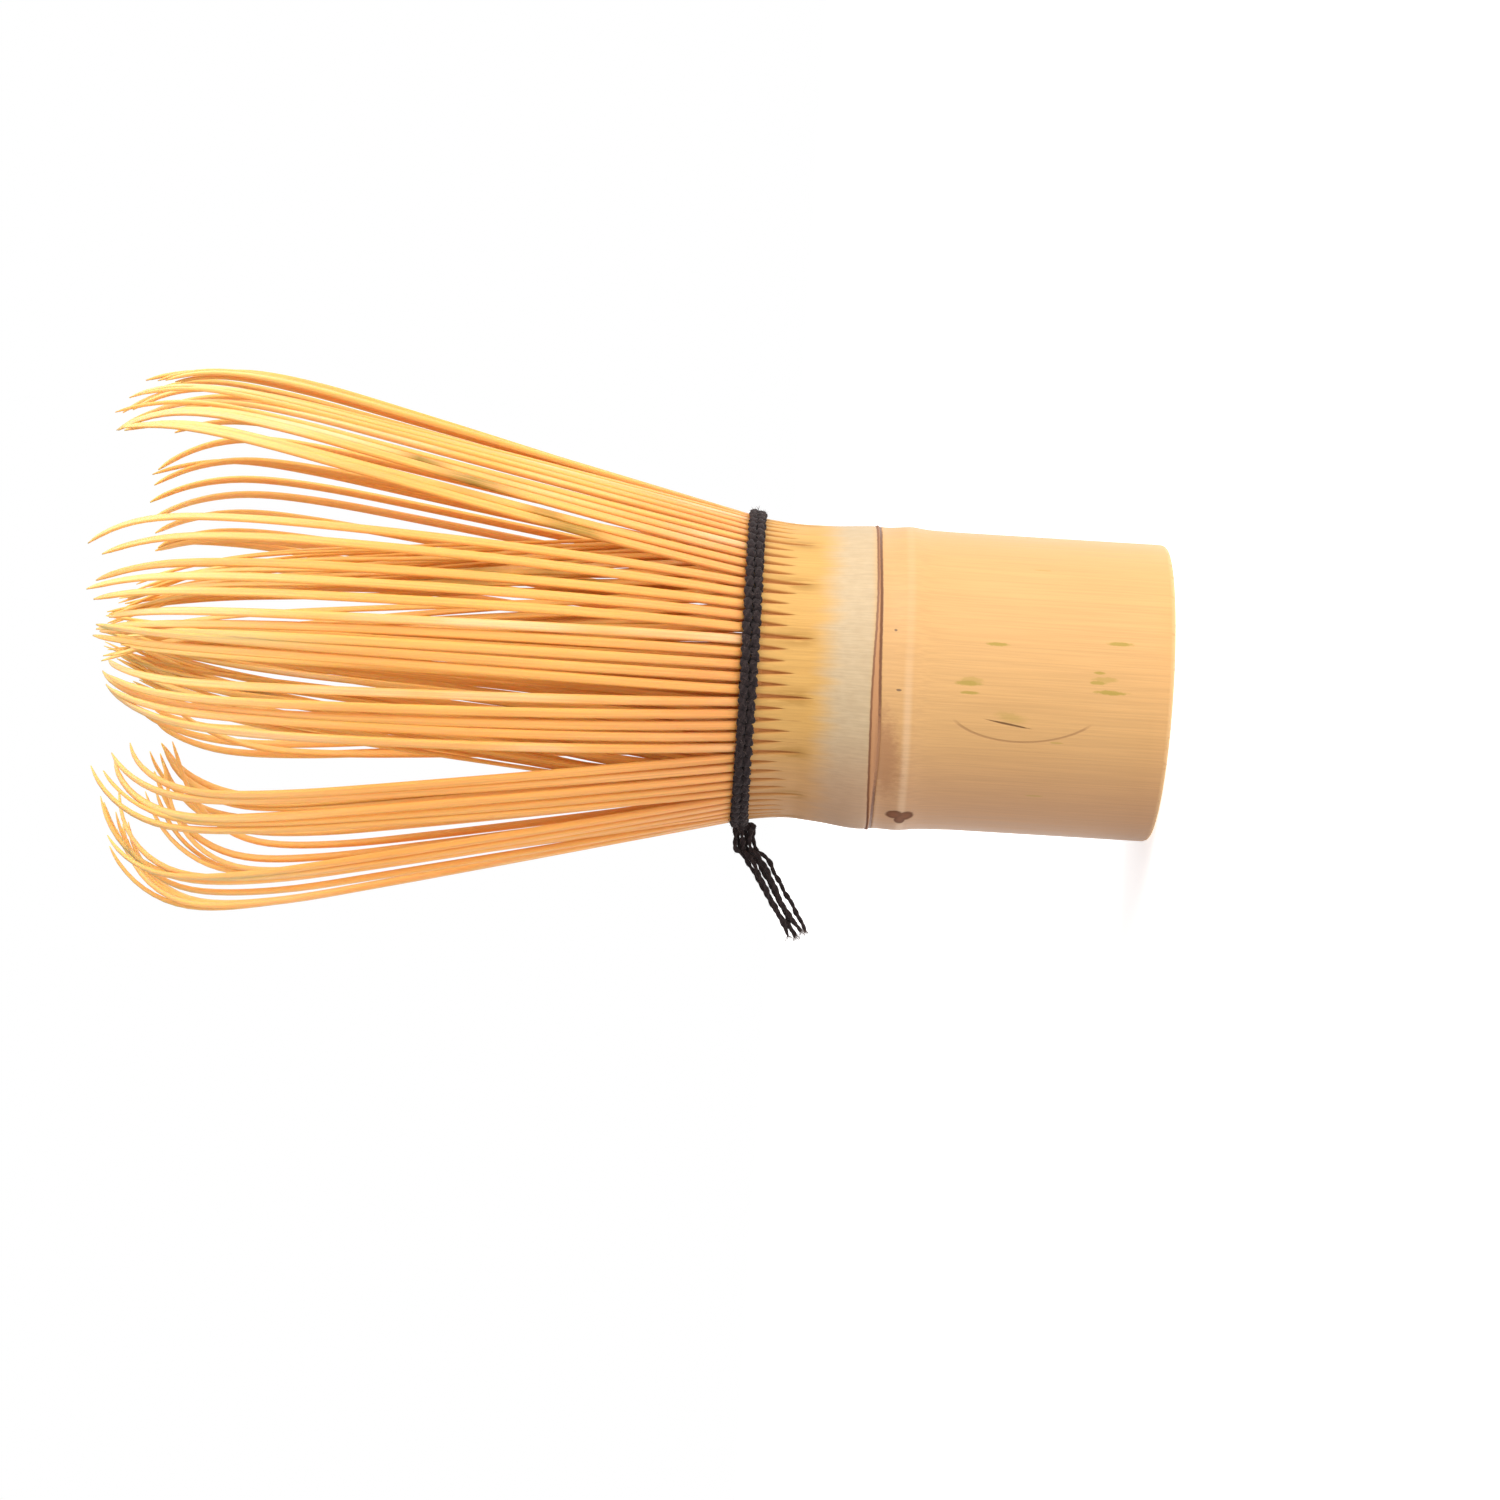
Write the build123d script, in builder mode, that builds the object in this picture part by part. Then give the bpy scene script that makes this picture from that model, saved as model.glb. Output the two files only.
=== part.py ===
from build123d import *
import math
import os

os.makedirs("parts", exist_ok=True)

# A bamboo tea whisk (chasen), standing on its handle. Z runs along the culm's axis, from the
# flat end of the handle at z = 0 up to the tips of the tines. All sizes are in millimetres.

whisk_height = 106.7

# Handle: the stretch of culm below the node, left hollow from its flat end.
handle_radius = 15.0
handle_straight = 21.0
bore_radius = 11.0
rim_chamfer = 0.5

# Node: the closed joint of the culm, with the sheath scar's low swelling below it.
sheath_radius = 15.3
sheath_height = 25.6
notch_radius = 15.0
notch_height = 27.7
ridge_radius = 15.4
ridge_low = 28.3
ridge_high = 28.9
floor_low = 27.5
floor_high = 30.5

# Neck and crown: the culm above the node, thinned from inside and split at its top.
waist_radius = 14.85
waist_height = 36.0
crown_radius = 15.35
crown_top = 41.5
neck_hollow_radius = 12.7
groove_inner_radius = 14.15
groove_outer_radius = 14.82
groove_floor = 39.9

# Tines: sixteen splits, each shaved into five outer and five inner tines.
split_count = 16
tines_per_split = 5
tine_count = split_count * tines_per_split
split_angle = 360 / split_count
tine_angle = 360 / tine_count
slit_width = 0.33
slit_end = 37.6
main_slit_end = 34.8
slit_reach = 3.0

outer_root_radius = 15.46
outer_root_height = 41.65
outer_flare = 13.4
outer_straight = 43.5
outer_shoulder_bend = (90.0, 6.4)  # radius and turn of each bend towards the tip
outer_brow_bend = (24.0, 10.0)
outer_tip_radius = 9.0
outer_tip_curl = 41.0
outer_curl_swing = 13.0
outer_root_thickness = 0.5
outer_tip_thickness = 0.3
outer_root_width = 0.84
outer_shoulder_width = 0.7
outer_shoulder_height = 86.0
outer_tip_width = 0.36
outer_clump_lean = 0.45

inner_root_radius = 13.65
inner_root_height = 41.65
inner_root_thickness = 0.36
inner_tip_thickness = 0.22
inner_root_width = 0.55
inner_tip_width = 0.3
inner_layer_radii = (3.8, 5.6, 7.4)
inner_layer_tips = (whisk_height, whisk_height - 1.3, whisk_height - 2.7)
inner_curl_radius = 30.0
inner_curl = 22.0
inner_curl_depth = 0.9

# Binding thread: two rows round the roots of the tines, each with a strand outside the outer
# tines and a strand between the outer and the inner tines, knotted on the -X side.
lower_row_height = 40.65
upper_row_height = 41.75
strand_half_height = 0.48
lower_outer_strand_radius = 15.72
upper_outer_strand_radius = 15.94
outer_strand_half_depth = 0.2
inner_strand_radius = 14.46
inner_strand_half_depth = 0.2

knot_face = 16.16
knot_depth = 0.9
knot_length = 2.6
knot_width = 1.5
knot_fillet = 0.3
tail_radius = 0.16
tail_exit = 1.3


def save(piece, name):
    """Label a finished piece and write its STEP file."""
    piece.part.label = name
    export_step(piece.part, "parts/" + name + ".step")


# The culm: one piece of bamboo from the flat end of the handle to the split crown.
def slit_plane(index):
    """The plane that faces outward at the slit before tine number index."""
    turn = math.radians((index - tines_per_split / 2) * tine_angle)
    radial = (math.cos(turn), math.sin(turn), 0)
    tangent = (-math.sin(turn), math.cos(turn), 0)
    floor = (groove_inner_radius * radial[0], groove_inner_radius * radial[1], 0)
    return Plane(origin=floor, x_dir=tangent, z_dir=radial)


def slit_outline(end):
    """A long narrow wedge, open at the crown's top and closing to a point at its end."""
    top = crown_top + 1
    half = slit_width / 2 * (top - end) / (crown_top - end)
    return Polygon((-half, top), (0, end), (half, top), align=None)


with BuildPart() as culm:
    with BuildSketch(Plane.XZ):
        with BuildLine():
            Polyline(
                (0, floor_high),
                (0, floor_low),
                (bore_radius, floor_low),
                (bore_radius, rim_chamfer),
                (bore_radius + rim_chamfer, 0),
                (handle_radius - rim_chamfer, 0),
                (handle_radius, rim_chamfer),
                (handle_radius, handle_straight),
            )
            Spline(
                (handle_radius, handle_straight),
                (sheath_radius, sheath_height),
                (notch_radius, notch_height),
                tangents=((0, 1), (-0.5, 1)),
            )
            Polyline(
                (notch_radius, notch_height),
                (ridge_radius, ridge_low),
                (ridge_radius, ridge_high),
            )
            Spline(
                (ridge_radius, ridge_high),
                (waist_radius, waist_height),
                (crown_radius, crown_top),
                tangents=((-0.25, 1), (0.16, 1)),
            )
            Polyline(
                (crown_radius, crown_top),
                (neck_hollow_radius, crown_top),
                (neck_hollow_radius, floor_high),
                (0, floor_high),
            )
        make_face()
    revolve(axis=Axis.Z)
    with BuildSketch(Plane.XY.offset(groove_floor)):
        Circle(groove_outer_radius)
        Circle(groove_inner_radius, mode=Mode.SUBTRACT)
    extrude(amount=crown_top - groove_floor, mode=Mode.SUBTRACT)
    short_slits = [i for i in range(tine_count) if i % tines_per_split]
    with BuildSketch(*[slit_plane(i) for i in short_slits]):
        slit_outline(slit_end)
    extrude(amount=slit_reach, mode=Mode.SUBTRACT)
    main_slits = [i for i in range(tine_count) if i % tines_per_split == 0]
    with BuildSketch(*[slit_plane(i) for i in main_slits]):
        slit_outline(main_slit_end)
    extrude(amount=slit_reach, mode=Mode.SUBTRACT)
save(culm, "culm_handle")


# The outer tines: thin strips that flare from the crown and curl inward at their tips.
def outer_edge(inset, spread, curl):
    """One long edge of an outer tine's side view, inset from its outer face."""
    lean = math.radians(outer_flare + spread)
    tangent = (math.sin(lean), math.cos(lean))
    root = (outer_root_radius - inset, outer_root_height)
    thin = outer_tip_thickness if inset else 0
    shaft = PolarLine(root, outer_straight, direction=tangent)
    radius, turn = outer_shoulder_bend
    shoulder = JernArc(shaft @ 1, shaft % 1, radius - thin, turn + spread)
    radius, turn = outer_brow_bend
    brow = JernArc(shoulder @ 1, shoulder % 1, radius - thin, turn)
    return root, JernArc(brow @ 1, brow % 1, outer_tip_radius - thin, curl) @ 1


def outer_tine(curl):
    """One outer tine at azimuth 0, its tip turned inward by curl degrees past the brow."""
    thinning = (outer_root_thickness - outer_tip_thickness) / outer_straight
    with BuildPart() as tine:
        with BuildSketch(Plane.XZ):
            with BuildLine():
                root, tip = outer_edge(0, 0, curl)
                back_root, back_tip = outer_edge(
                    outer_root_thickness, math.degrees(thinning), curl
                )
                Line(root, back_root)
                Line(tip, back_tip)
            make_face()
        extrude(amount=outer_root_width, both=True)
        with BuildSketch(Plane.YZ):
            Polygon(
                (-outer_root_width / 2, outer_root_height - 1),
                (outer_root_width / 2, outer_root_height - 1),
                (outer_shoulder_width / 2, outer_shoulder_height),
                (outer_tip_width / 2, whisk_height),
                (-outer_tip_width / 2, whisk_height),
                (-outer_shoulder_width / 2, outer_shoulder_height),
                align=None,
            )
        extrude(amount=2 * outer_root_radius, mode=Mode.INTERSECT)
    return tine.part


def leaned(azimuth, lean):
    """The place of an outer tine at this azimuth, leaned sideways about its root."""
    tilt = Location((0, 0, outer_root_height), (lean, 0, 0)) * Location((0, 0, -outer_root_height))
    return Location((0, 0, 0), (0, 0, azimuth)) * tilt


def side_curl(azimuth):
    """Tip curl: more on the -X side, which has been pressed in use, and less on +X."""
    return outer_tip_curl - outer_curl_swing * math.cos(math.radians(azimuth))


for split in range(split_count):
    azimuth = split * split_angle
    blade = outer_tine(side_curl(azimuth))
    with BuildPart() as outer_tines:
        for step in (-2, -1, 0, 1, 2):
            with Locations(leaned(azimuth + step * tine_angle, step * outer_clump_lean)):
                add(blade)
    save(outer_tines, f"outer_tines_{split + 1:02d}")


# The inner tines: finer strips that lean together into a loose bundle round the axis.
def inner_tine(layer):
    """One inner tine at azimuth 0, reaching the tip radius and height of its layer."""
    tip_height = inner_layer_tips[layer]
    rise = tip_height - inner_root_height
    draw_in = inner_root_radius - inner_layer_radii[layer] - inner_curl_depth
    lean = math.atan2(draw_in, rise)
    curl_rise = inner_curl_radius * (math.sin(lean + math.radians(inner_curl)) - math.sin(lean))
    straight = (rise - curl_rise) / math.cos(lean)
    thinning = (inner_root_thickness - inner_tip_thickness) / straight
    with BuildPart() as tine:
        with BuildSketch(Plane.XZ):
            with BuildLine():
                root = (inner_root_radius, inner_root_height)
                front = PolarLine(root, straight, direction=(-math.sin(lean), math.cos(lean)))
                tip = JernArc(front @ 1, front % 1, inner_curl_radius, inner_curl)
                back_root = (inner_root_radius - inner_root_thickness, inner_root_height)
                back_lean = lean - thinning
                back = PolarLine(
                    back_root, straight, direction=(-math.sin(back_lean), math.cos(back_lean))
                )
                back_tip = JernArc(back @ 1, back % 1, inner_curl_radius, inner_curl)
                Line(root, back_root)
                Line(tip @ 1, back_tip @ 1)
            make_face()
        extrude(amount=inner_root_width, both=True)
        with BuildSketch(Plane.YZ):
            Polygon(
                (-inner_root_width / 2, inner_root_height - 1),
                (inner_root_width / 2, inner_root_height - 1),
                (inner_tip_width / 2, tip_height),
                (-inner_tip_width / 2, tip_height),
                align=None,
            )
        extrude(amount=2 * inner_root_radius, mode=Mode.INTERSECT)
    return tine.part


inner_blades = [inner_tine(layer) for layer in range(len(inner_layer_radii))]
for split in range(split_count):
    with BuildPart() as inner_tines:
        for step in range(tines_per_split):
            number = split * tines_per_split + step
            with Locations(Location((0, 0, 0), (0, 0, (number - 1.5) * tine_angle))):
                add(inner_blades[number % len(inner_blades)])
    save(inner_tines, f"inner_tines_{split + 1:02d}")


# The binding thread: two rows, each an outer and an inner strand round the tines.
def strand_section(radius, height, half_depth):
    """The flattened section of one strand of thread."""
    with Locations((radius, height)):
        Ellipse(half_depth, strand_half_height)


with BuildPart() as lower_row:
    with BuildSketch(Plane.XZ):
        strand_section(lower_outer_strand_radius, lower_row_height, outer_strand_half_depth)
        strand_section(inner_strand_radius, lower_row_height, inner_strand_half_depth)
    revolve(axis=Axis.Z)
save(lower_row, "thread_row_lower")

with BuildPart() as upper_row:
    with BuildSketch(Plane.XZ):
        strand_section(upper_outer_strand_radius, upper_row_height, outer_strand_half_depth)
        strand_section(inner_strand_radius, upper_row_height, inner_strand_half_depth)
    revolve(axis=Axis.Z)
save(upper_row, "thread_row_upper")

# The knot, a small rounded lump, with a flat outer face that the loose ends leave from.
with BuildPart() as knot:
    with BuildSketch(Plane(origin=(-knot_face, 0, lower_row_height), x_dir=(0, 0, 1), z_dir=(-1, 0, 0))):
        RectangleRounded(knot_length, knot_width, 0.6)
    extrude(amount=knot_depth)
    fillet(knot.faces().sort_by(Axis.X)[-1].edges(), knot_fillet)
save(knot, "thread_knot")

# The loose ends of the thread, short and stiff, hanging away from the knot. Each row is the
# start's y and z from the knot's centre, then the strand's further points from that start.
tail_routes = [
    ((-0.35, 0.95), (-2.6, 0.2, -0.9), (-5.6, 0.6, -2.9), (-8.4, 0.3, -4.6), (-10.6, 0.9, -6.8)),
    ((0.35, 0.62), (-2.5, 0.1, -1.4), (-5.3, 0.5, -3.4), (-8.2, 0.2, -5.0), (-10.3, 0.7, -7.0)),
    ((-0.35, 0.2), (-2.7, -0.4, -0.8), (-5.5, -0.8, -2.4), (-8.1, -0.4, -3.9), (-10.7, -0.9, -5.3)),
    ((0.35, -0.12), (-2.6, 0.5, -1.3), (-5.4, 0.9, -2.7), (-8.3, 0.6, -4.5), (-10.9, 1.1, -5.6)),
    ((-0.35, -0.55), (-2.5, -0.3, -0.9), (-5.2, -0.9, -2.6), (-7.9, -0.8, -3.8), (-10.0, -1.3, -5.7)),
    ((0.35, -0.9), (-2.6, -0.3, -1.4), (-5.4, 0.1, -2.9), (-8.0, -0.1, -4.7), (-10.2, 0.2, -5.9)),
]


def bend_radius(before, corner, after):
    """The largest easy bend at a corner: 0.45 of the shorter run over tan of half the turn."""
    run_in = Vector(*corner) - Vector(*before)
    run_out = Vector(*after) - Vector(*corner)
    half_turn = math.radians(run_in.get_angle(run_out)) / 2
    return 0.45 * min(run_in.length, run_out.length) / math.tan(half_turn)


for number, (foot, *further) in enumerate(tail_routes, start=1):
    start = (-knot_face - knot_depth, foot[0], lower_row_height + foot[1])
    exit_point = (start[0] - tail_exit, start[1], start[2])
    route = [start, exit_point] + [
        (start[0] + dx, start[1] + dy, start[2] + dz) for dx, dy, dz in further
    ]
    radii = [bend_radius(*route[i - 1 : i + 2]) for i in range(1, len(route) - 1)]
    with BuildPart() as tail:
        with BuildLine() as path:
            FilletPolyline(*route, radius=radii)
        with BuildSketch(Plane(origin=start, z_dir=(-1, 0, 0))):
            Circle(tail_radius)
        sweep()
    length = path.wire().length
    share = tail.part.volume / (math.pi * tail_radius**2 * length)
    print(f"tail {number}: length {length:.2f}, radii {[round(r, 1) for r in radii]}, volume {share:.3f}")
    save(tail, f"tail_strand_{number}")
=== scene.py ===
# %% [markdown]
# # A bamboo tea whisk
#
# A chasen is cut from one piece of bamboo culm. The part below the node stays whole and is the
# handle. Above the node the wall is split into many tines, and a dark thread is woven round
# their roots, so that a ring of outer tines flares out and a bundle of inner tines leans in.
# The CAD frame already fixes every size. This script gives each piece its real surface.

import math
import random

import bmesh
import bpy
import numpy as np
from mathutils import Matrix, Vector


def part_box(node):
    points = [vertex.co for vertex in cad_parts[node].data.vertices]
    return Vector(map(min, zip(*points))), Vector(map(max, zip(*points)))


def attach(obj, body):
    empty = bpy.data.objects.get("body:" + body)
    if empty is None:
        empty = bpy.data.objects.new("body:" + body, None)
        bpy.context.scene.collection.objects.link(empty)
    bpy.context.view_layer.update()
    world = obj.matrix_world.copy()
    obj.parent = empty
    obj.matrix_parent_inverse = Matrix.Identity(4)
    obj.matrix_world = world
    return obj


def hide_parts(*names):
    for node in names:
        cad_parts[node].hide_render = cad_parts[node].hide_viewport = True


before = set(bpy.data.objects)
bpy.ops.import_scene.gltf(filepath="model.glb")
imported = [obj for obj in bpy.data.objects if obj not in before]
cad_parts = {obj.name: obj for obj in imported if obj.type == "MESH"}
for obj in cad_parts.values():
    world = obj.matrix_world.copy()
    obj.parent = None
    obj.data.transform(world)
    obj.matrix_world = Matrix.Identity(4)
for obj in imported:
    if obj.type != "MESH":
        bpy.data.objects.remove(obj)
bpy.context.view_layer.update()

# %% [markdown]
# Blender works in metres and a whisk is made in millimetres. One name for a millimetre keeps
# the numbers readable. The heights that the looks depend on are read from the CAD nodes, so
# the pieces stay together if the CAD changes.

# %% Sizes taken from the frame
MM = 0.001


def in_mm(value):
    """A length in metres as millimetres."""
    return value / MM


crown_top = in_mm(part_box("culm_handle")[1].z)
tips_top = in_mm(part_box("inner_tines_01")[1].z)
row_heights = [
    in_mm(sum(corner.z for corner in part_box(row)) / 2)
    for row in ("thread_row_lower", "thread_row_upper")
]
split_count = 16
tines_per_split = 5
tine_count = split_count * tines_per_split
tine_angle = math.radians(360 / tine_count)
print("crown top", round(crown_top, 2), "and tips", round(tips_top, 1))
print("thread rows at", [round(row_height, 2) for row_height in row_heights])

# %% [markdown]
# The camera looks at the whisk from one side, with the handle to the right of the frame, so
# its own right is nearly the culm's way down. A long lens keeps the perspective gentle. The
# camera is aimed with three axes, right, up and back, because a small roll of 3.5 degrees is
# then one pair of numbers.

# %% Camera
camera_roll = math.radians(3.5)
camera_distance = 335 * MM
frame_width = 151.8 * MM
right = Vector((math.sin(camera_roll), 0, -math.cos(camera_roll)))
up = Vector((math.cos(camera_roll), 0, math.sin(camera_roll)))
back = Vector((0, -1, 0))
aim_height = 41.6 * MM
aim_right, aim_down = 0.506 * MM, 8.25 * MM
aim = Vector((0, 0, aim_height)) + right * aim_right - up * aim_down
camera = bpy.data.objects.new("camera", bpy.data.cameras.new("camera"))
camera.data.sensor_width = 36
camera.data.lens = 36 * camera_distance / frame_width
camera.data.clip_start = 0.01
axes = Matrix((right, up, back)).transposed().to_4x4()
camera.matrix_world = Matrix.Translation(aim + back * camera_distance) @ axes
bpy.context.scene.collection.objects.link(camera)
bpy.context.scene.camera = camera
print("lens", round(camera.data.lens, 1), "mm")

# %% [markdown]
# Soft daylight comes from the whisk's +X side, from above and from the camera's side. A sun lamp
# with a wide angle gives it soft shadows. The world gives the rest: it is white towards +X and
# fades to a very dark purple on the far side, so the side away from the light is dim and a
# little red. The camera itself sees a white world. The plain view transform keeps the bamboo's
# strong yellow.

# %% Sun
bpy.context.scene.view_settings.view_transform = "Standard"
sun = bpy.data.objects.new("key_light", bpy.data.lights.new("key_light", "SUN"))
sun.data.energy = 2.35
sun.data.angle = math.radians(55)
sun.data.color = (1.0, 0.98, 0.95)
sun_from = Vector((0.75, -0.5, 0.5))
sun.rotation_euler = sun_from.to_track_quat("Z", "Y").to_euler()
bpy.context.scene.collection.objects.link(sun)
print("sun", sun.data.energy, "from", tuple(sun_from))

# %% [markdown]
# The world, the floor and all the finishes are node trees. These helpers make one node and
# wire it in a single call, so that a finish reads as a list of what is laid over what.

# %% Helpers for node trees


def make_node(tree, kind, sockets=None, **settings):
    """A node with its settings made, and each socket given a number, a colour or a link."""
    made = tree.nodes.new(kind)
    for name, value in settings.items():
        setattr(made, name, value)
    for key, value in (sockets or {}).items():
        if isinstance(value, bpy.types.NodeSocket):
            tree.links.new(value, made.inputs[key])
        else:
            made.inputs[key].default_value = value
    return made


def mixed(tree, share, first, second):
    """The first colour where share is 0, and the second where it is 1."""
    sockets = {0: share, 6: first, 7: second}
    return make_node(tree, "ShaderNodeMix", sockets, data_type="RGBA").outputs[2]


def maths(tree, operation, first, second=0.0, third=0.0):
    """One sum on numbers."""
    sockets = {0: first, 1: second, 2: third}
    return make_node(tree, "ShaderNodeMath", sockets, operation=operation).outputs[0]


def vector_maths(tree, operation, sockets, output=0):
    """One sum on vectors."""
    made = make_node(tree, "ShaderNodeVectorMath", sockets, operation=operation)
    return made.outputs[output]


def ramp(tree, value, start, end, low=0.0, high=1.0):
    """Low where value is at start, high where it is at end, and a smooth change between."""
    sockets = {0: value, 1: start, 2: end, 3: low, 4: high}
    smooth = make_node(tree, "ShaderNodeMapRange", sockets, interpolation_type="SMOOTHSTEP")
    return smooth.outputs[0]


def tinted(tree, colour, tint, mask, depth):
    """A colour with a tint laid over it where the mask is 1, as strongly as depth says."""
    return mixed(tree, maths(tree, "MULTIPLY", mask, depth), colour, tint)


def multiplied(tree, colour, shade):
    """A colour with each channel times a grey."""
    return vector_maths(tree, "SCALE", {0: colour, 3: shade})


print("node helpers ready")

# %% World
world = bpy.data.worlds.new("soft_daylight")
bpy.context.scene.world = world
world.use_nodes = True
sky = world.node_tree
sky.nodes.clear()
direction = make_node(sky, "ShaderNodeTexCoord").outputs["Generated"]
brightest = (0.85, -0.5, 0.15)
toward_day = vector_maths(sky, "DOT_PRODUCT", {0: direction, 1: brightest}, "Value")
toward_light = ramp(sky, toward_day, -0.9, 0.9)
sky_colour = mixed(sky, toward_light, (0.06, 0.03, 0.06, 1), (1.06, 1.05, 1.04, 1))
lighting = make_node(sky, "ShaderNodeBackground", {0: sky_colour, 1: 1.0})
seen = make_node(sky, "ShaderNodeBackground", {0: (1, 1, 1, 1), 1: 1.0})
camera_ray = make_node(sky, "ShaderNodeLightPath").outputs["Is Camera Ray"]
both = make_node(
    sky, "ShaderNodeMixShader", {0: camera_ray, 1: lighting.outputs[0], 2: seen.outputs[0]}
)
make_node(sky, "ShaderNodeOutputWorld", {0: both.outputs[0]})
print("a world of soft daylight with", len(sky.nodes), "nodes")

# %% [markdown]
# The floor is a plain pale sheet under the handle. It is one large flat square, and its finish
# is nearly white paper. A little glow of its own stops the whisk's soft shadow from turning it
# grey.

# %% Floor
floor_half = 4.0
floor_mesh = bpy.data.meshes.new("floor")
corners = [(-1, -1), (1, -1), (1, 1), (-1, 1)]
floor_points = [(floor_half * x, floor_half * y, 0) for x, y in corners]
floor_mesh.from_pydata(floor_points, [], [(0, 1, 2, 3)])
floor = bpy.data.objects.new("floor", floor_mesh)
bpy.context.scene.collection.objects.link(floor)
paper = bpy.data.materials.new("pale_paper")
paper.use_nodes = True
paper_tree = paper.node_tree
paper_shader = paper_tree.nodes["Principled BSDF"]
grain = make_node(paper_tree, "ShaderNodeTexNoise", {"Scale": 400.0, "Detail": 3.0})
paper_colour = mixed(
    paper_tree, grain.outputs["Fac"], (0.86, 0.86, 0.855, 1), (0.9, 0.9, 0.895, 1)
)
paper_tree.links.new(paper_colour, paper_shader.inputs["Base Color"])
paper_shader.inputs["Roughness"].default_value = 0.9
paper_shader.inputs["Specular IOR Level"].default_value = 0.1
paper_shader.inputs["Emission Color"].default_value = (1, 1, 1, 1)
paper_shader.inputs["Emission Strength"].default_value = 0.6
floor.data.materials.append(paper)
print("floor", 2 * floor_half, "m wide")

# %% [markdown]
# Every piece here is a skin over rings of points: a culm is rings round an axis, and a tine or
# a thread is rings along a path. One helper places the rings along a path, one joins rings into
# faces, and one turns the collected points into a Blender mesh with its own numbers on each
# point, such as how far along the tine it is. The finishes read those numbers later.

# %% Rings of points to a mesh


def rings_along(path, first, second, wide, deep):
    """A ring of points round each point of a path, this wide and deep along two directions."""
    return (
        path[:, None, :]
        + wide[:, :, None] * first[:, None, :]
        + deep[:, :, None] * second[:, None, :]
    )


class Skin:
    """Points, faces and point values collected for one piece."""

    def __init__(self):
        self.points = []
        self.faces = []
        self.values = {}
        self.count = 0

    def add_rings(self, rings, loop=False, **values):
        """Joins rings of points, shaped (rings, sides, 3), in a loop or with capped ends."""
        ring_count, sides, _ = rings.shape
        index = np.arange(ring_count * sides).reshape(ring_count, sides) + self.count
        if loop:
            index = np.vstack([index, index[:1]])
        beside = np.roll(index, -1, axis=1)
        quads = np.stack([index[:-1], beside[:-1], beside[1:], index[1:]], axis=-1)
        self.faces.extend(quads.reshape(-1, 4).tolist())
        if not loop:
            self.faces.append(index[0][::-1].tolist())
            self.faces.append(index[-1].tolist())
        self.points.append(rings.reshape(-1, 3))
        for name, value in values.items():
            spread = np.broadcast_to(value, (ring_count, sides)).reshape(-1)
            self.values.setdefault(name, []).append(spread)
        self.count += ring_count * sides

    def piece(self, name, material, slot, body, node):
        """The finished Blender object, riding on its body and standing for its CAD node."""
        mesh = bpy.data.meshes.new(name)
        mesh.from_pydata((np.concatenate(self.points) * MM).tolist(), [], self.faces)
        outward_mesh = bmesh.new()
        outward_mesh.from_mesh(mesh)
        bmesh.ops.recalc_face_normals(outward_mesh, faces=outward_mesh.faces)
        outward_mesh.to_mesh(mesh)
        outward_mesh.free()
        for key, collected in self.values.items():
            attribute = mesh.attributes.new(key, "FLOAT", "POINT")
            attribute.data.foreach_set("value", np.concatenate(collected).astype(np.float32))
        mesh.polygons.foreach_set("use_smooth", [True] * len(mesh.polygons))
        mesh.materials.append(material)
        made = bpy.data.objects.new(name, mesh)
        bpy.context.scene.collection.objects.link(made)
        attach(made, body)
        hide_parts(node)
        return made


print("skin helper ready")

# %% [markdown]
# All the finishes are built from the same few ideas: a colour that changes slowly, fibres
# that are noise stretched along the grain, and marks at known places. Noise in the object's
# own coordinates needs no UV map. Multiplying those coordinates differently along the grain
# is what turns round speckle into long fibres.

# %% Helpers for the finishes


def start_material(name):
    """A new material, its node tree, its main shader, and its coordinates in millimetres."""
    material = bpy.data.materials.new(name)
    material.use_nodes = True
    tree = material.node_tree
    shader = tree.nodes["Principled BSDF"]
    place = make_node(tree, "ShaderNodeTexCoord").outputs["Object"]
    return material, tree, shader, vector_maths(tree, "SCALE", {0: place, 3: 1 / MM})


def noise_at(tree, vector, detail):
    """Noise at a vector's place."""
    sockets = {"Vector": vector, "Scale": 1.0, "Detail": detail}
    return make_node(tree, "ShaderNodeTexNoise", sockets).outputs["Fac"]


def grain_noise(tree, place, across, along, detail=2.0, shift=0.0):
    """Noise with its own fineness across and along the culm."""
    sockets = {0: place, 1: (across, across, along), 2: (shift, shift, shift)}
    return noise_at(tree, vector_maths(tree, "MULTIPLY_ADD", sockets), detail)


def point_value(tree, name):
    """A number kept on the mesh's points."""
    return make_node(tree, "ShaderNodeAttribute", attribute_name=name).outputs["Fac"]


# How far a spot reaches into the wall, so that it never shows on the culm's other side.
spot_depth = 6.0


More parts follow.
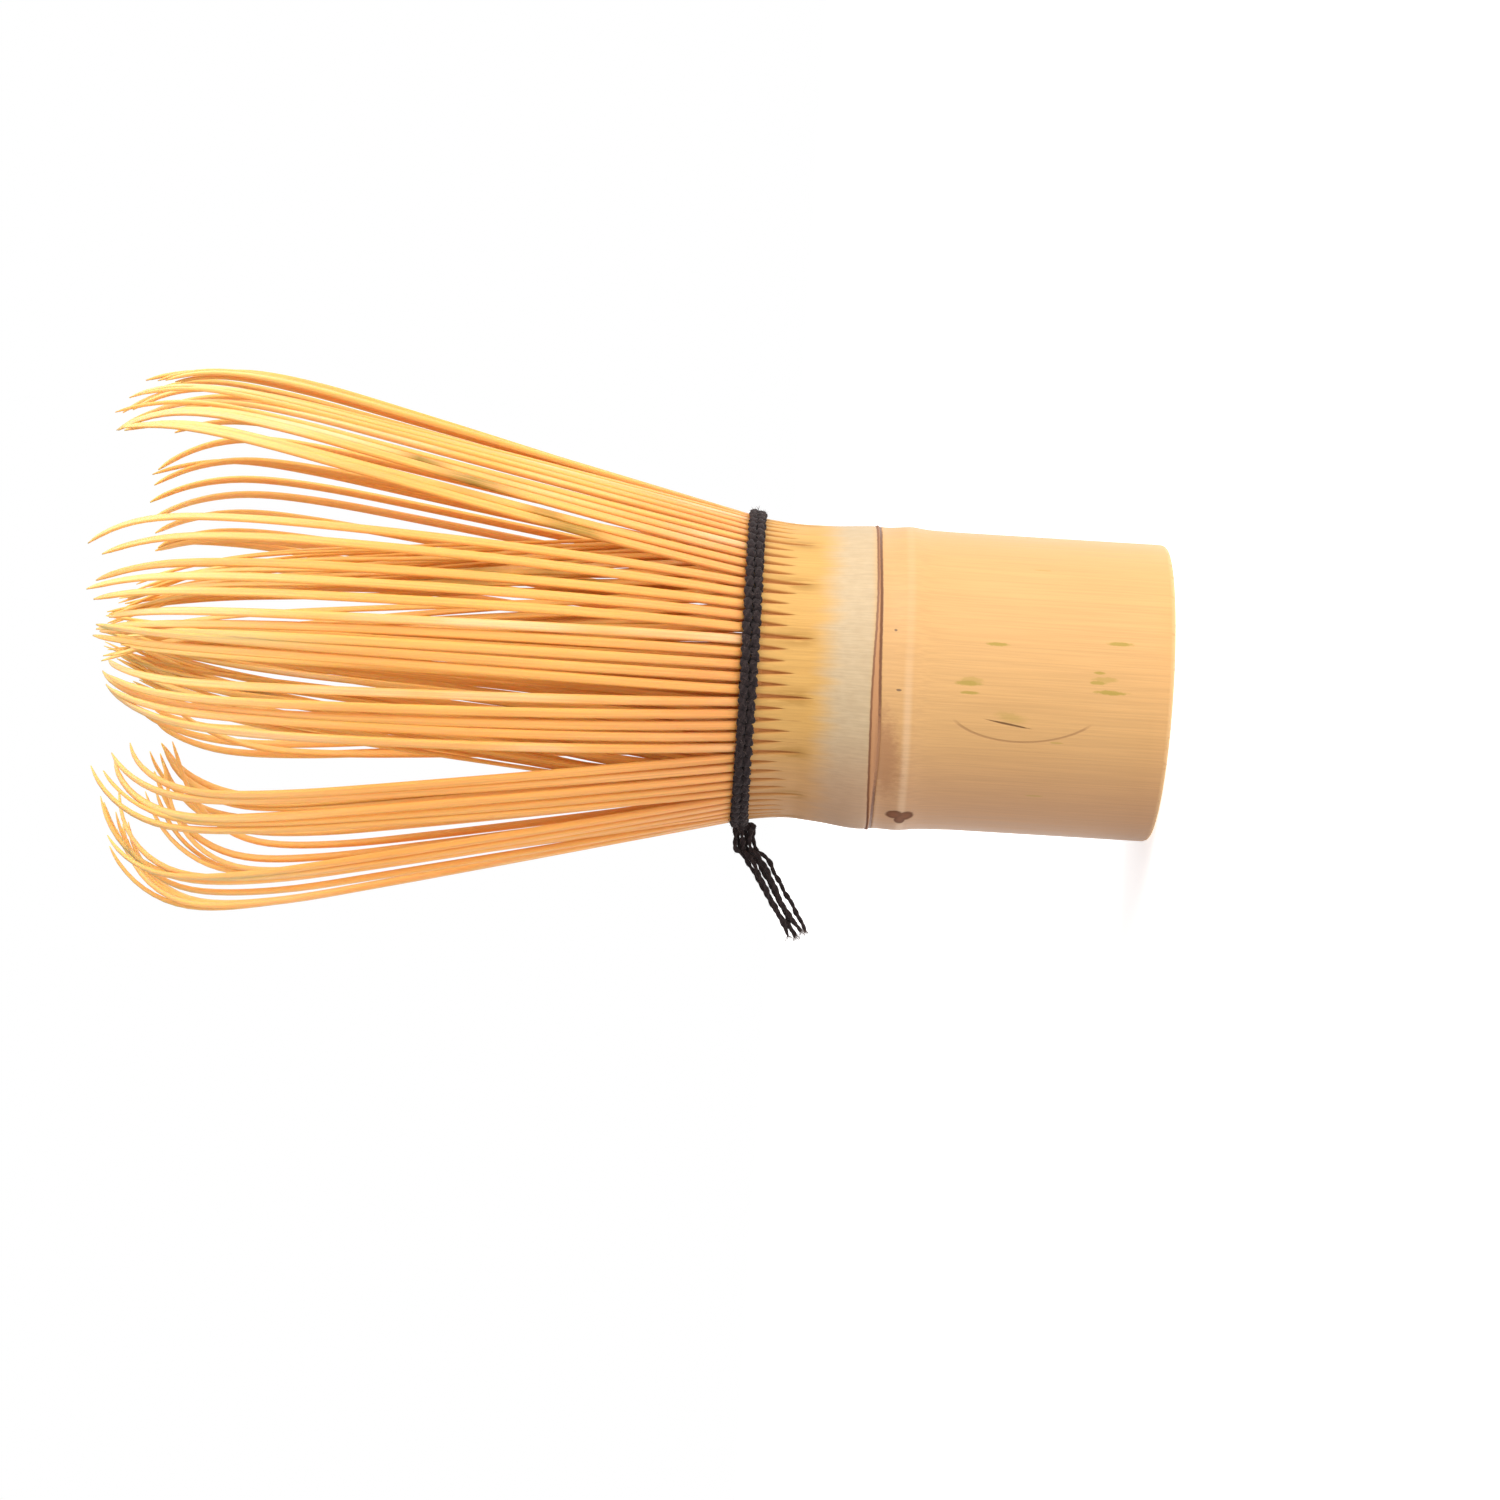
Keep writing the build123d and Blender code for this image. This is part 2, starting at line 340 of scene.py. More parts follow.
def spot_distance(tree, place, centre, half_round, half_along, turn=0.0, ragged=0.0):
    """Distance from a spot's centre, 1 at its rim, for an oval spot on one side of a wall."""
    azimuth, height, radius = centre
    angle = math.radians(azimuth)
    middle = (radius * math.cos(angle), radius * math.sin(angle), height)
    offset = vector_maths(tree, "SUBTRACT", {0: place, 1: middle})
    lean = math.radians(turn)
    side = (-math.sin(angle) * math.cos(lean), math.cos(angle) * math.cos(lean), math.sin(lean))
    long = (math.sin(angle) * math.sin(lean), -math.cos(angle) * math.sin(lean), math.cos(lean))
    inward = (math.cos(angle), math.sin(angle), 0.0)
    shares = []
    for axis, half in ((side, half_round), (long, half_along), (inward, spot_depth)):
        scaled = tuple(part / half for part in axis)
        along_axis = vector_maths(tree, "DOT_PRODUCT", {0: offset, 1: scaled}, "Value")
        shares.append(maths(tree, "POWER", maths(tree, "ABSOLUTE", along_axis), 2.0))
    oval = maths(tree, "ADD", shares[0], shares[1])
    distance = maths(tree, "SQRT", maths(tree, "ADD", oval, shares[2]))
    if ragged:
        wobble = grain_noise(tree, place, 3.0, 1.6, 3.0)
        distance = maths(tree, "MULTIPLY_ADD", wobble, ragged, distance)
        distance = maths(tree, "SUBTRACT", distance, ragged / 2)
    return distance


def finish_bump(tree, shader, height, strength, distance):
    """Gives the shader a surface relief of that height in metres."""
    sockets = {"Strength": strength, "Distance": distance, "Height": height}
    tree.links.new(make_node(tree, "ShaderNodeBump", sockets).outputs[0], shader.inputs["Normal"])


print("finish helpers ready")

# %% [markdown]
# The culm keeps its natural skin. The handle is warm yellow with hair-fine fibres. Above the
# node the skin is greyish and waxy, and it is yellow again where the slits start. The side away
# from the light is browner: partly its own tone, partly painted shade and a painted reddish
# bounce of light. Just below the node a faint pinkish brown is painted shade too. Each stretch
# is a colour that noise varies slightly, and the height above the node or the foot says where
# one fades into the next.

# %% Culm colours
ring_middle = 28.75
culm_finish, tree, shader, place = start_material("culm_bamboo_skin")
split_place = make_node(tree, "ShaderNodeSeparateXYZ", {0: place})
height = split_place.outputs[2]
painted_shade_side = ramp(tree, split_place.outputs[0], -4.0, -14.0)
ring_height, ring_half, slit_shade, slit_rim_shade, raw_cut, feathered, streak = (
    point_value(tree, name)
    for name in ("ring_height", "ring_half", "slit_shade", "slit_rim_shade", "raw_cut", "feather", "streak")
)

fine_fibre = grain_noise(tree, place, 5.5, 0.09, 3.0)
broad_fibre = grain_noise(tree, place, 1.1, 0.035, 2.0, 7.0)
cloud = grain_noise(tree, place, 0.16, 0.1, 3.0, 3.0)
mottle = grain_noise(tree, place, 1.6, 1.3, 4.0, 5.0)

handle_colour = mixed(tree, cloud, (0.575, 0.328, 0.125, 1), (0.605, 0.353, 0.142, 1))
waxy_colour = mixed(tree, mottle, (0.465, 0.342, 0.2, 1), (0.53, 0.405, 0.25, 1))
crown_colour = mixed(tree, broad_fibre, (0.535, 0.292, 0.077, 1), (0.6, 0.35, 0.104, 1))
above_ring = ramp(tree, ring_height, -0.3, 0.9)
above_ring_not = ramp(tree, ring_height, 0.1, -0.2)
near_slits = ramp(tree, maths(tree, "MULTIPLY_ADD", broad_fibre, 3.0, height), 33.4, 36.8)
under_lip = ramp(tree, ring_height, 0.2, -0.2)
# A faint pinkish brown just below the node's lip is painted shade.
painted_shade_below_ring = maths(tree, "MULTIPLY", ramp(tree, ring_height, -5.5, -0.8), under_lip)
colour = tinted(tree, handle_colour, (0.56, 0.33, 0.17, 1), painted_shade_below_ring, 0.2)
colour = mixed(tree, above_ring, colour, waxy_colour)
colour = mixed(tree, near_slits, colour, crown_colour)
# The -X side: partly its own browner tone, partly painted shade and painted reddish bounce light.
colour = tinted(tree, colour, (0.44, 0.235, 0.135, 1), painted_shade_side, 0.6)

from_sheath = maths(tree, "ABSOLUTE", maths(tree, "ADD", ring_height, 3.1))
sheath_line = ramp(tree, from_sheath, 0.6, 0.1)
sheath_strength = ramp(tree, split_place.outputs[0], 5.0, -5.0, 0.12, 0.42)
colour = tinted(tree, colour, (0.72, 0.5, 0.31, 1), sheath_line, sheath_strength)
colour = multiplied(tree, colour, ramp(tree, fine_fibre, 0.3, 0.7, 0.94, 1.04))
colour = multiplied(tree, colour, ramp(tree, broad_fibre, 0.3, 0.7, 0.985, 1.015))
print("culm colours:", len(tree.nodes), "nodes")

# %% [markdown]
# The slits end in points, and the skin there is stained like a feather round each main one.
# The node is a narrow raised lip between two dark lines, left by the sheath that once grew
# there. The lines waver a little with the mottle, so they don't look drawn with a compass.

# %% Slits and node lines
broken = ramp(tree, grain_noise(tree, place, 2.2, 0.22, 3.0, 2.0), 0.35, 0.52)
feather = maths(tree, "MULTIPLY", feathered, broken)
colour = tinted(tree, colour, (0.32, 0.16, 0.027, 1), feather, 0.75)
colour = tinted(tree, colour, (0.38, 0.18, 0.05, 1), streak, 0.8)
# The slit floors and the skin just round them are painted dark brown as shade.
colour = tinted(tree, colour, (0.52, 0.225, 0.055, 1), slit_rim_shade, 0.6)
colour = mixed(tree, slit_shade, colour, (0.46, 0.18, 0.045, 1))

from_lip_edge = maths(tree, "SUBTRACT", maths(tree, "ABSOLUTE", ring_height), ring_half)
lip = ramp(tree, from_lip_edge, 0.04, -0.04)
colour = tinted(tree, colour, (0.44, 0.205, 0.09, 1), lip, 0.85)
line_wobble = maths(tree, "MULTIPLY_ADD", mottle, 0.12, -0.06)
lower_line = maths(tree, "ADD", maths(tree, "ADD", ring_height, ring_half), line_wobble)
upper_line = maths(tree, "SUBTRACT", maths(tree, "ADD", ring_height, line_wobble), ring_half)
lower_dark = ramp(tree, maths(tree, "ABSOLUTE", lower_line), 0.22, 0.07)
upper_dark = ramp(tree, maths(tree, "ABSOLUTE", upper_line), 0.16, 0.05)
colour = tinted(tree, colour, (0.13, 0.048, 0.02, 1), lower_dark, 0.92)
colour = tinted(tree, colour, (0.18, 0.072, 0.034, 1), upper_dark, 0.85)
print("slits and node lines:", len(tree.nodes), "nodes")

# %% [markdown]
# Every culm has marks of its own: here a heart-shaped bud scar, specks, olive flecks that run
# with the fibres, and one curved scratch with a nick beside it. A brown oval of painted shade
# lies below the node.
# Each is an oval on one side of the wall, placed by its angle and height, and the scar is
# three ovals joined.

# %% Marks on the culm
# A brown oval below the node, on the dim side, is painted shade.
stain = spot_distance(tree, place, (238.0, 27.6, 15.3), 6.2, 2.1, 8.0, 0.9)
stain_here = maths(tree, "MULTIPLY", ramp(tree, stain, 1.1, 0.3), above_ring_not)
colour = tinted(tree, colour, (0.36, 0.17, 0.075, 1), stain_here, 0.75)

scar_left = spot_distance(tree, place, (207.0, 25.95, 15.3), 0.95, 0.95, 20.0, 0.3)
scar_right = spot_distance(tree, place, (206.0, 24.9, 15.3), 1.1, 0.85, -25.0, 0.3)
scar_point = spot_distance(tree, place, (203.2, 25.35, 15.3), 1.3, 0.6, 0.0, 0.3)
scar_lobes = maths(tree, "MINIMUM", scar_left, scar_right)
scar_outline = maths(tree, "MINIMUM", scar_lobes, scar_point)
scar = ramp(tree, scar_outline, 1.1, 0.75)
scar_heart = ramp(tree, scar_outline, 0.2, 0.9)
scar_colour = mixed(tree, scar_heart, (0.17, 0.052, 0.018, 1), (0.1, 0.026, 0.006, 1))
colour = tinted(tree, colour, scar_colour, scar, 0.9)

speck_brown = (0.16, 0.1, 0.06, 1)
olive = (0.38, 0.265, 0.055, 1)
skin_radius = 15.05
# Each fleck: azimuth in degrees, height, half its width, half its length, tint and depth.
flecks = [
    (286.2, 27.2, 0.16, 0.2, speck_brown, 0.9),
    (264.2, 26.6, 0.12, 0.28, speck_brown, 0.9),
    (283.4, 17.2, 0.2, 1.2, olive, 0.95),
    (286.3, 5.3, 0.24, 1.3, olive, 0.95),
    (269.5, 19.6, 0.36, 1.1, olive, 0.5),
    (268.2, 19.9, 0.26, 1.45, olive, 0.9),
    (264.7, 19.7, 0.17, 0.95, olive, 0.95),
    (272.5, 6.7, 0.28, 1.3, olive, 0.55),
    (271.2, 7.4, 0.2, 0.85, olive, 0.9),
    (267.8, 6.1, 0.24, 1.65, olive, 1.0),
    (274.9, 7.3, 0.15, 0.65, olive, 0.95),
    (247.6, 11.0, 0.1, 0.7, olive, 0.6),
    (223.0, 12.5, 0.14, 0.9, olive, 0.5),
    (318.0, 13.0, 0.12, 1.1, olive, 0.45),
    (41.0, 15.0, 0.2, 1.5, olive, 0.6),
    (96.0, 8.5, 0.16, 1.2, olive, 0.6),
    (133.0, 18.5, 0.14, 0.9, olive, 0.6),
    (74.0, 24.0, 0.15, 0.2, speck_brown, 0.8),
]
for azimuth, at_height, half_round, half_along, tint, depth in flecks:
    middle = (azimuth, at_height, skin_radius)
    rim = spot_distance(tree, place, middle, half_round, half_along, 0.0, 0.9)
    colour = tinted(tree, colour, tint, ramp(tree, rim, 1.15, 0.6), depth)

scratch_ring = spot_distance(tree, place, (262.9, 14.2, skin_radius), 4.1, 7.8, 4.0)
from_scratch = maths(tree, "ABSOLUTE", maths(tree, "SUBTRACT", scratch_ring, 1.0))
scratch_edge = ramp(tree, from_scratch, 0.035, 0.008)
low_side = spot_distance(tree, place, (247.0, 14.2, skin_radius), 3.6, 8.8)
scratch = maths(tree, "MULTIPLY", scratch_edge, ramp(tree, low_side, 1.0, 0.75))
colour = tinted(tree, colour, (0.36, 0.19, 0.075, 1), scratch, 0.8)
nick = spot_distance(tree, place, (253.8, 15.8, skin_radius), 0.11, 2.3, -9.0, 0.4)
nick_shade = spot_distance(tree, place, (256.4, 15.6, skin_radius), 0.7, 2.0, -9.0, 0.8)
nick_here = ramp(tree, nick, 1.1, 0.7)
colour = tinted(tree, colour, olive, ramp(tree, nick_shade, 1.0, 0.2), 0.45)
colour = mixed(tree, nick_here, colour, (0.17, 0.085, 0.03, 1))
print(len(flecks), "flecks, a scar, a stain, a scratch and a nick")

# %% [markdown]
# Where the culm is cut, at the foot, in the bore and under the thread, its raw wood shows: pale,
# dull, and dotted with the ends of its vessels. The skin is glossier than the cut, though it is
# wax and not varnish, and the marks and lines are sunk in it by less than a hair.

# %% Cut wood, gloss and relief
pore_place = vector_maths(tree, "MULTIPLY", {0: place, 1: (1.9, 1.9, 0.1)})
pores = make_node(tree, "ShaderNodeTexVoronoi", {"Vector": pore_place, "Scale": 1.0})
pore = ramp(tree, pores.outputs["Distance"], 0.34, 0.16)
cut_colour = tinted(tree, (0.76, 0.56, 0.31, 1), (0.33, 0.18, 0.075, 1), pore, 0.6)
colour = mixed(tree, raw_cut, colour, cut_colour)
tree.links.new(colour, shader.inputs["Base Color"])

gloss = ramp(tree, fine_fibre, 0.3, 0.7, 0.36, 0.46)
for duller, by in ((raw_cut, 0.3), (above_ring, 0.1), (scar, 0.3)):
    gloss = maths(tree, "MULTIPLY_ADD", duller, by, gloss)
tree.links.new(gloss, shader.inputs["Roughness"])
shader.inputs["Specular IOR Level"].default_value = 0.28
relief = maths(tree, "MULTIPLY_ADD", broad_fibre, 0.7, fine_fibre)
for sunk, by in (
    (lower_dark, -1.6), (upper_dark, -1.0), (scratch, -1.2), (nick_here, -1.6), (scar, -1.2),
):
    relief = maths(tree, "MULTIPLY_ADD", sunk, by, relief)
finish_bump(tree, shader, relief, 0.35, 0.00006)
print("culm finish:", len(tree.nodes), "nodes")

# %% [markdown]
# The culm is one closed skin of rings, each ring a full turn round the axis. It starts at the
# middle of the bore's ceiling, goes down the bore, round the rim, up the outside, over the
# crown and down into the neck. Each ring has twelve points for every tine, and the slits are
# made by sinking a few of them, so a slit can narrow to a point without any cutting. The main
# slits, between the sixteen splits, reach lowest.

# %% Slits round the culm
rng = np.random.default_rng(11)
columns = np.array([-0.5, -0.38, -0.27, -0.19, -0.14, -0.11, 0.0, 0.11, 0.14, 0.19, 0.27, 0.38])
column_count = len(columns) * tine_count
tine_number = np.repeat(np.arange(tine_count), len(columns))
column_share = np.tile(columns, tine_count)
slit_azimuth = (tine_number - tines_per_split / 2) * tine_angle
is_main = np.arange(tine_count) % tines_per_split == 0


def spread_between(low, high):
    """One random number for each slit, from low to high."""
    return rng.uniform(low, high, tine_count)


slit_ends = np.where(is_main, spread_between(34.9, 35.8), spread_between(36.7, 37.9))
streak_ends = np.where(is_main, spread_between(34.2, 35.0), slit_ends - spread_between(0.1, 0.9))
long_streak = ~is_main & (rng.random(tine_count) < 0.14)
streak_ends = np.where(long_streak, spread_between(35.4, 36.4), streak_ends)
slit_widths = spread_between(1.55, 1.9)
slit_depth = 0.34
rim_sag = 0.06
floor_columns = (np.abs(column_share) < 0.12) * 1.0
rim_columns = (np.abs(np.abs(column_share) - 0.14) < 0.01) * 1.0
print(tine_count, "slits,", int(is_main.sum()), "of them main, in", column_count, "columns")

# %% [markdown]
# The wall isn't a turned cylinder. It swells more below the node on the side with the bud scar
# than on the other, so there are two outlines and each angle mixes them. The node's lip is
# tilted and uneven in width, and a slow wobble runs round the wall.

# %% Culm wall
light_side_wall = (
    (0.0, 15.0), (21.0, 15.0), (24.0, 15.06), (25.7, 15.3), (26.8, 15.16), (27.7, 15.08),
    (28.3, 15.04), (29.0, 15.14), (30.5, 15.08), (33.0, 14.9), (36.0, 14.85), (38.0, 14.92),
    (40.0, 15.12), (crown_top, 15.33),
)
far_side_wall = (
    (0.0, 15.0), (20.0, 15.02), (23.5, 15.16), (25.3, 15.42), (26.6, 15.36), (27.7, 15.32),
    (28.3, 15.42), (29.0, 15.5), (30.5, 15.42), (33.0, 15.06), (36.0, 14.78), (38.0, 14.85),
    (40.0, 15.1), (crown_top, 15.33),
)


def smooth_profile(knots, height):
    """Radius at this height, from given knots, with the corners rounded off."""
    knot_heights, knot_radii = zip(*knots)
    return np.mean(np.interp(height + np.linspace(-0.45, 0.45, 7), knot_heights, knot_radii))


def ring_place(azimuth):
    """Height of the node's lip at this azimuth: tilted, and a little wavy."""
    wave = 0.05 * np.sin(3 * azimuth + 0.6) + 0.03 * np.sin(7 * azimuth)
    return ring_middle + 0.36 * np.cos(azimuth) + wave


def lip_half_width(azimuth):
    """Half the lip's width: widest below the middle of the camera's side."""
    degrees = np.degrees(azimuth) % 360
    wide_low = 0.28 * np.exp(-(((degrees - 250) / 34) ** 2))
    wide_far = 0.12 * np.exp(-(((degrees - 80) / 40) ** 2))
    return 0.15 + wide_low + wide_far


def wall_radii(height, azimuth, open_teeth):
    """Radii of the outer wall round one ring, with the node's lip and the rounded teeth."""
    share = (1 + np.cos(azimuth)) / 2
    light = smooth_profile(light_side_wall, height)
    far = smooth_profile(far_side_wall, height)
    radii = light * share + far * (1 - share)
    half = lip_half_width(azimuth)
    from_ring = height - ring_place(azimuth)
    radii += 0.1 * np.exp(-((from_ring / (half + 0.05)) ** 4))
    radii -= 0.07 * np.exp(-(((from_ring + half + 0.06) / 0.11) ** 2))
    radii -= 0.04 * np.exp(-(((from_ring - half - 0.05) / 0.1) ** 2))
    radii += 0.02 * np.sin(2 * azimuth + 0.7) + 0.012 * np.sin(5 * azimuth + 0.05 * height)
    crowned = np.cos(column_share * 2 * np.pi + np.pi) * (1 - floor_columns)
    return radii + 0.05 * open_teeth * crowned


ring_rows = []


def culm_row(height, radius=None, slit_share=1.0, cut=0.0, shade=0.0):
    """One ring of the culm, at this radius, or on the outer wall where there is none."""
    wall = radius is None
    end = slit_ends[tine_number]
    open_share = np.clip((height - end) / (crown_top - end), 0, 1) ** 0.75
    width = np.clip(open_share * slit_widths[tine_number], 0.1, 1.9)
    relax = np.clip((end - height - 0.6) / 2.0, 0, 1)
    width = width + (1 - width) * relax
    beside_slit = 0.5 - (0.5 - np.abs(column_share)) * (0.5 - 0.14 * width) / (0.5 - 0.14)
    in_slit = np.abs(column_share) < 0.15
    slid = np.where(in_slit, column_share * width, np.sign(column_share) * beside_slit)
    azimuth = slit_azimuth + slid * tine_angle
    sunk = np.clip((height - end) / 1.6, 0, 1) ** 0.7 * slit_share
    everywhere = np.ones(column_count)
    if wall:
        radii = wall_radii(height, azimuth, np.clip((height - end) / 3.0, 0, 1))
    else:
        radii = radius * everywhere
    radii = radii - slit_depth * sunk * floor_columns - rim_sag * sunk * rim_columns
    along_streak = np.clip((height - streak_ends[tine_number]) / 1.1, 0, 1)
    from_main = (np.degrees(azimuth) + 11.25) % 22.5
    from_main = np.minimum(from_main, 22.5 - from_main)
    feather = np.exp(-((from_main / 3.0) ** 2)) * np.clip((height - 34.3) / 1.6, 0, 1)
    feather *= 1 - 0.6 * np.clip((height - 37.0) / 2.0, 0, 1)
    ring_rows.append(
        {
            "points": np.stack(
                [radii * np.cos(azimuth), radii * np.sin(azimuth), height * everywhere], axis=1
            ),
            "ring_height": (height - ring_place(azimuth)) if wall else -20.0 * everywhere,
            "ring_half": lip_half_width(azimuth),
            "slit_shade": np.maximum(floor_columns * np.clip(sunk * 1.4, 0, 1), shade),
            "slit_rim_shade": (np.abs(column_share) < 0.25) * np.clip(sunk, 0, 1),
            "streak": (np.abs(column_share) < 0.12) * along_streak,
            "raw_cut": cut * everywhere,
            "feather": feather * wall,
        }
    )


print("wall at the foot", light_side_wall[0][1], "mm, at the crown", light_side_wall[-1][1], "mm")

# %% [markdown]
# Now the rings in order. The rows are close together at the node, where the lip is, and above
# it, where the slits are. The crown has a groove for the inner strand of the thread. The groove
# and the crown's top edge are painted dark as shade, because no light gets in between the roots
# of the tines.

# %% Culm
bore_ceiling = 27.5
bore_radius = 11.0
groove_floor = 39.9
groove_inner, groove_outer = 14.15, 14.82
neck_hollow = 12.7
node_top = 30.5
bore_rows = [(bore_ceiling, radius) for radius in (0.02, 3.0, 6.5, 9.5, 10.7)]
bore_rows += [(height, bore_radius) for height in (27.2, 24.0, 18.0, 12.0, 6.0, 2.0, 0.6)]
foot_rows = [(0.12, 11.35), (0.0, 11.6), (0.0, 13.0), (0.0, 14.45), (0.04, 14.72)]
wall_heights = np.concatenate(
    [
        np.linspace(0.5, 23.0, 16),
        np.arange(23.5, 27.4, 0.4),
        np.arange(27.5, 30.3, 0.11),
        np.arange(30.5, 34.0, 0.5),
        np.arange(34.1, crown_top - 0.15, 0.22),
        [crown_top - 0.12],
    ]
)
groove_top = crown_top - 0.1
groove_rows = [
    (groove_top, groove_outer), (groove_floor, groove_outer),
    (groove_floor, groove_inner), (groove_top, groove_inner),
    (crown_top - 0.02, 14.0), (crown_top - 0.02, 12.85), (crown_top - 0.15, neck_hollow),
]
neck_rows = [(height, neck_hollow) for height in (38.0, 34.0, 31.2)]
neck_rows += [(30.6, 12.3), (node_top, 9.0), (node_top, 4.0), (node_top, 0.02)]

for height, radius in bore_rows + foot_rows:
    culm_row(height, radius, slit_share=0, cut=1.0)
culm_row(0.2, 14.9, slit_share=0, cut=0.35)
for height in wall_heights:
    culm_row(float(height))
# The crown's top edge and the groove under the thread are painted dark as shade.
for height, radius in ((crown_top - 0.02, 15.2), (crown_top - 0.01, 14.9)):
    culm_row(height, radius, slit_share=0.6, shade=1.0)
for height, radius in groove_rows:
    culm_row(height, radius, slit_share=0, shade=1.0)
for height, radius in neck_rows:
    culm_row(height, radius, slit_share=0, cut=1.0)

culm_skin = Skin()
culm_skin.add_rings(
    np.stack([row["points"] for row in ring_rows]),
    **{key: np.stack([row[key] for row in ring_rows]) for key in ring_rows[0] if key != "points"},
)
culm = culm_skin.piece("bamboo_culm", culm_finish, "culm_bamboo", "culm", "culm_handle")
print("culm:", len(culm.data.vertices), "points in", len(ring_rows), "rings")

# %% [markdown]
# A tine is a thin strip shaved from the culm's wall. Its outer face is the glossy skin, and
# the cut sides are duller and more orange. Towards its edges a tine is darker, most near the
# thread: partly the orange of the cut sides, partly painted shade between neighbouring tines.
# Its inner face is painted lighter, as painted light for the light that shines through the
# thin wood. The colour is deepest near the thread and pale at the tips, and no two tines match,
# so every tine carries its own random tone. A few have olive stains. Light comes a little way
# through wood this thin, so the shader has some subsurface.

# %% Tine finishes


def stretched_noise(tree, axes, detail):
    """Noise whose axes are these numbers, each with its own fineness."""
    sockets = {axis: maths(tree, "MULTIPLY", *pair) for axis, pair in enumerate(axes)}
    return noise_at(tree, make_node(tree, "ShaderNodeCombineXYZ", sockets).outputs[0], detail)


def tine_finish(name, root_colour, middle_colour, tip_colour):
    """A finish for tines that reads how far along, how far across, and which tine it is on."""
    material, tree, shader, _ = start_material(name)
    along, across, tone, face, stain = (
        point_value(tree, name) for name in ("along", "across", "tone", "face", "stain")
    )
    fibre = stretched_noise(tree, ((across, 2.6), (along, 0.09), (tone, 91.0)), 4.0)
    patch = stretched_noise(tree, ((tone, 47.0), (along, 0.06)), 1.0)
    colour = mixed(tree, ramp(tree, along, 0.0, 24.0), root_colour, middle_colour)
    colour = mixed(tree, ramp(tree, along, 34.0, 60.0), colour, tip_colour)
    deep = ramp(tree, tone, 0.45, 0.0)
    colour = tinted(tree, colour, (0.84, 0.41, 0.1, 1), deep, 0.5)
    pale_tine = ramp(tree, tone, 0.72, 1.0)
    pale = maths(tree, "MULTIPLY", pale_tine, ramp(tree, patch, 0.4, 0.62))
    colour = tinted(tree, colour, (0.9, 0.62, 0.36, 1), pale, 0.6)
    colour = multiplied(tree, colour, ramp(tree, fibre, 0.3, 0.7, 0.88, 1.07))
    # Darker edges, most near the thread: partly the orange cut sides, partly painted shade between
    # tines.
    edge_tone_and_shade = ramp(tree, maths(tree, "ABSOLUTE", across), 0.45, 1.0)
    edge_tone_and_shade_colour = mixed(
        tree, ramp(tree, along, 0.0, 18.0), (0.5, 0.16, 0.035, 1), (0.87, 0.4, 0.085, 1)
    )
    colour = tinted(tree, colour, edge_tone_and_shade_colour, edge_tone_and_shade, 0.5)
    # The inner faces are painted lighter: painted light for light shining through the thin wood.
    back_face_painted_light = ramp(tree, face, 0.1, -0.6)
    colour = tinted(tree, colour, (0.94, 0.54, 0.16, 1), back_face_painted_light, 0.5)
    uneven = ramp(tree, fibre, 0.3, 0.6, 0.55, 1.0)
    blotch = maths(tree, "MULTIPLY", stain, uneven)
    colour = tinted(tree, colour, (0.22, 0.15, 0.012, 1), blotch, 0.9)
    tree.links.new(colour, shader.inputs["Base Color"])
    gloss = ramp(tree, face, -0.5, 0.5, 0.65, 0.5)
    tree.links.new(gloss, shader.inputs["Roughness"])
    shader.inputs["Specular IOR Level"].default_value = 0.28
    shader.inputs["Subsurface Weight"].default_value = 0.45
    shader.inputs["Subsurface Radius"].default_value = (1.0, 0.4, 0.12)
    shader.inputs["Subsurface Scale"].default_value = 0.001
    finish_bump(tree, shader, fibre, 0.4, 0.00005)
    return material


outer_finish = tine_finish(
    "outer_tine_bamboo", (0.8, 0.36, 0.105, 1), (0.88, 0.42, 0.11, 1), (0.93, 0.585, 0.24, 1)
)
inner_finish = tine_finish(
    "inner_tine_bamboo", (0.88, 0.4, 0.09, 1), (0.94, 0.5, 0.13, 1), (0.95, 0.6, 0.22, 1)
)
print("two tine finishes")

# %% [markdown]
# A tine follows a centre line in its own upright plane. The line is worked out from angles, by
# adding up short steps, because hands bend bamboo by angle. It may also drift sideways, out of
# its plane. Its section is a flat strip with a rounded skin side, which narrows to the tip and
# rolls a little along its length, as shaved bamboo does.

# %% One tine
skin_across = np.array([-1.0, -0.62, 0.0, 0.62, 1.0, 1.0, 0.8, 0.0, -0.8, -1.0])
skin_out = np.array([0.62, 0.94, 1.0, 0.94, 0.62, -0.55, -1.0, -1.0, -1.0, -0.55])
root_height = 41.45
step_length = 0.25
# Each stain: azimuth in degrees, height, half its width round the whisk, half its length.
stains = (
    (317.0, 69.0, 1.7, 5.0), (322.0, 74.0, 1.0, 3.0), (308.5, 59.0, 1.5, 4.6),
    (304.0, 58.0, 0.9, 3.6), (312.0, 62.0, 0.8, 2.6), (120.0, 66.0, 0.7, 3.0),
)


def bent_line(start_radius, bends):
    """Radius, height and angle along a line that starts at the root and turns through bends."""
    lengths, angles = zip(*bends)
    along = np.arange(0, lengths[-1] + 6, step_length)
    spread = np.linspace(-1.6, 1.6, 9)
    turned = np.mean([np.interp(along + shift, lengths, angles) for shift in spread], axis=0)
    turned = np.radians(turned)
    radius = start_radius + np.concatenate([[0], np.cumsum(np.sin(turned[:-1]))]) * step_length
    height = root_height + np.concatenate([[0], np.cumsum(np.cos(turned[:-1]))]) * step_length
    return along, radius, height, turned


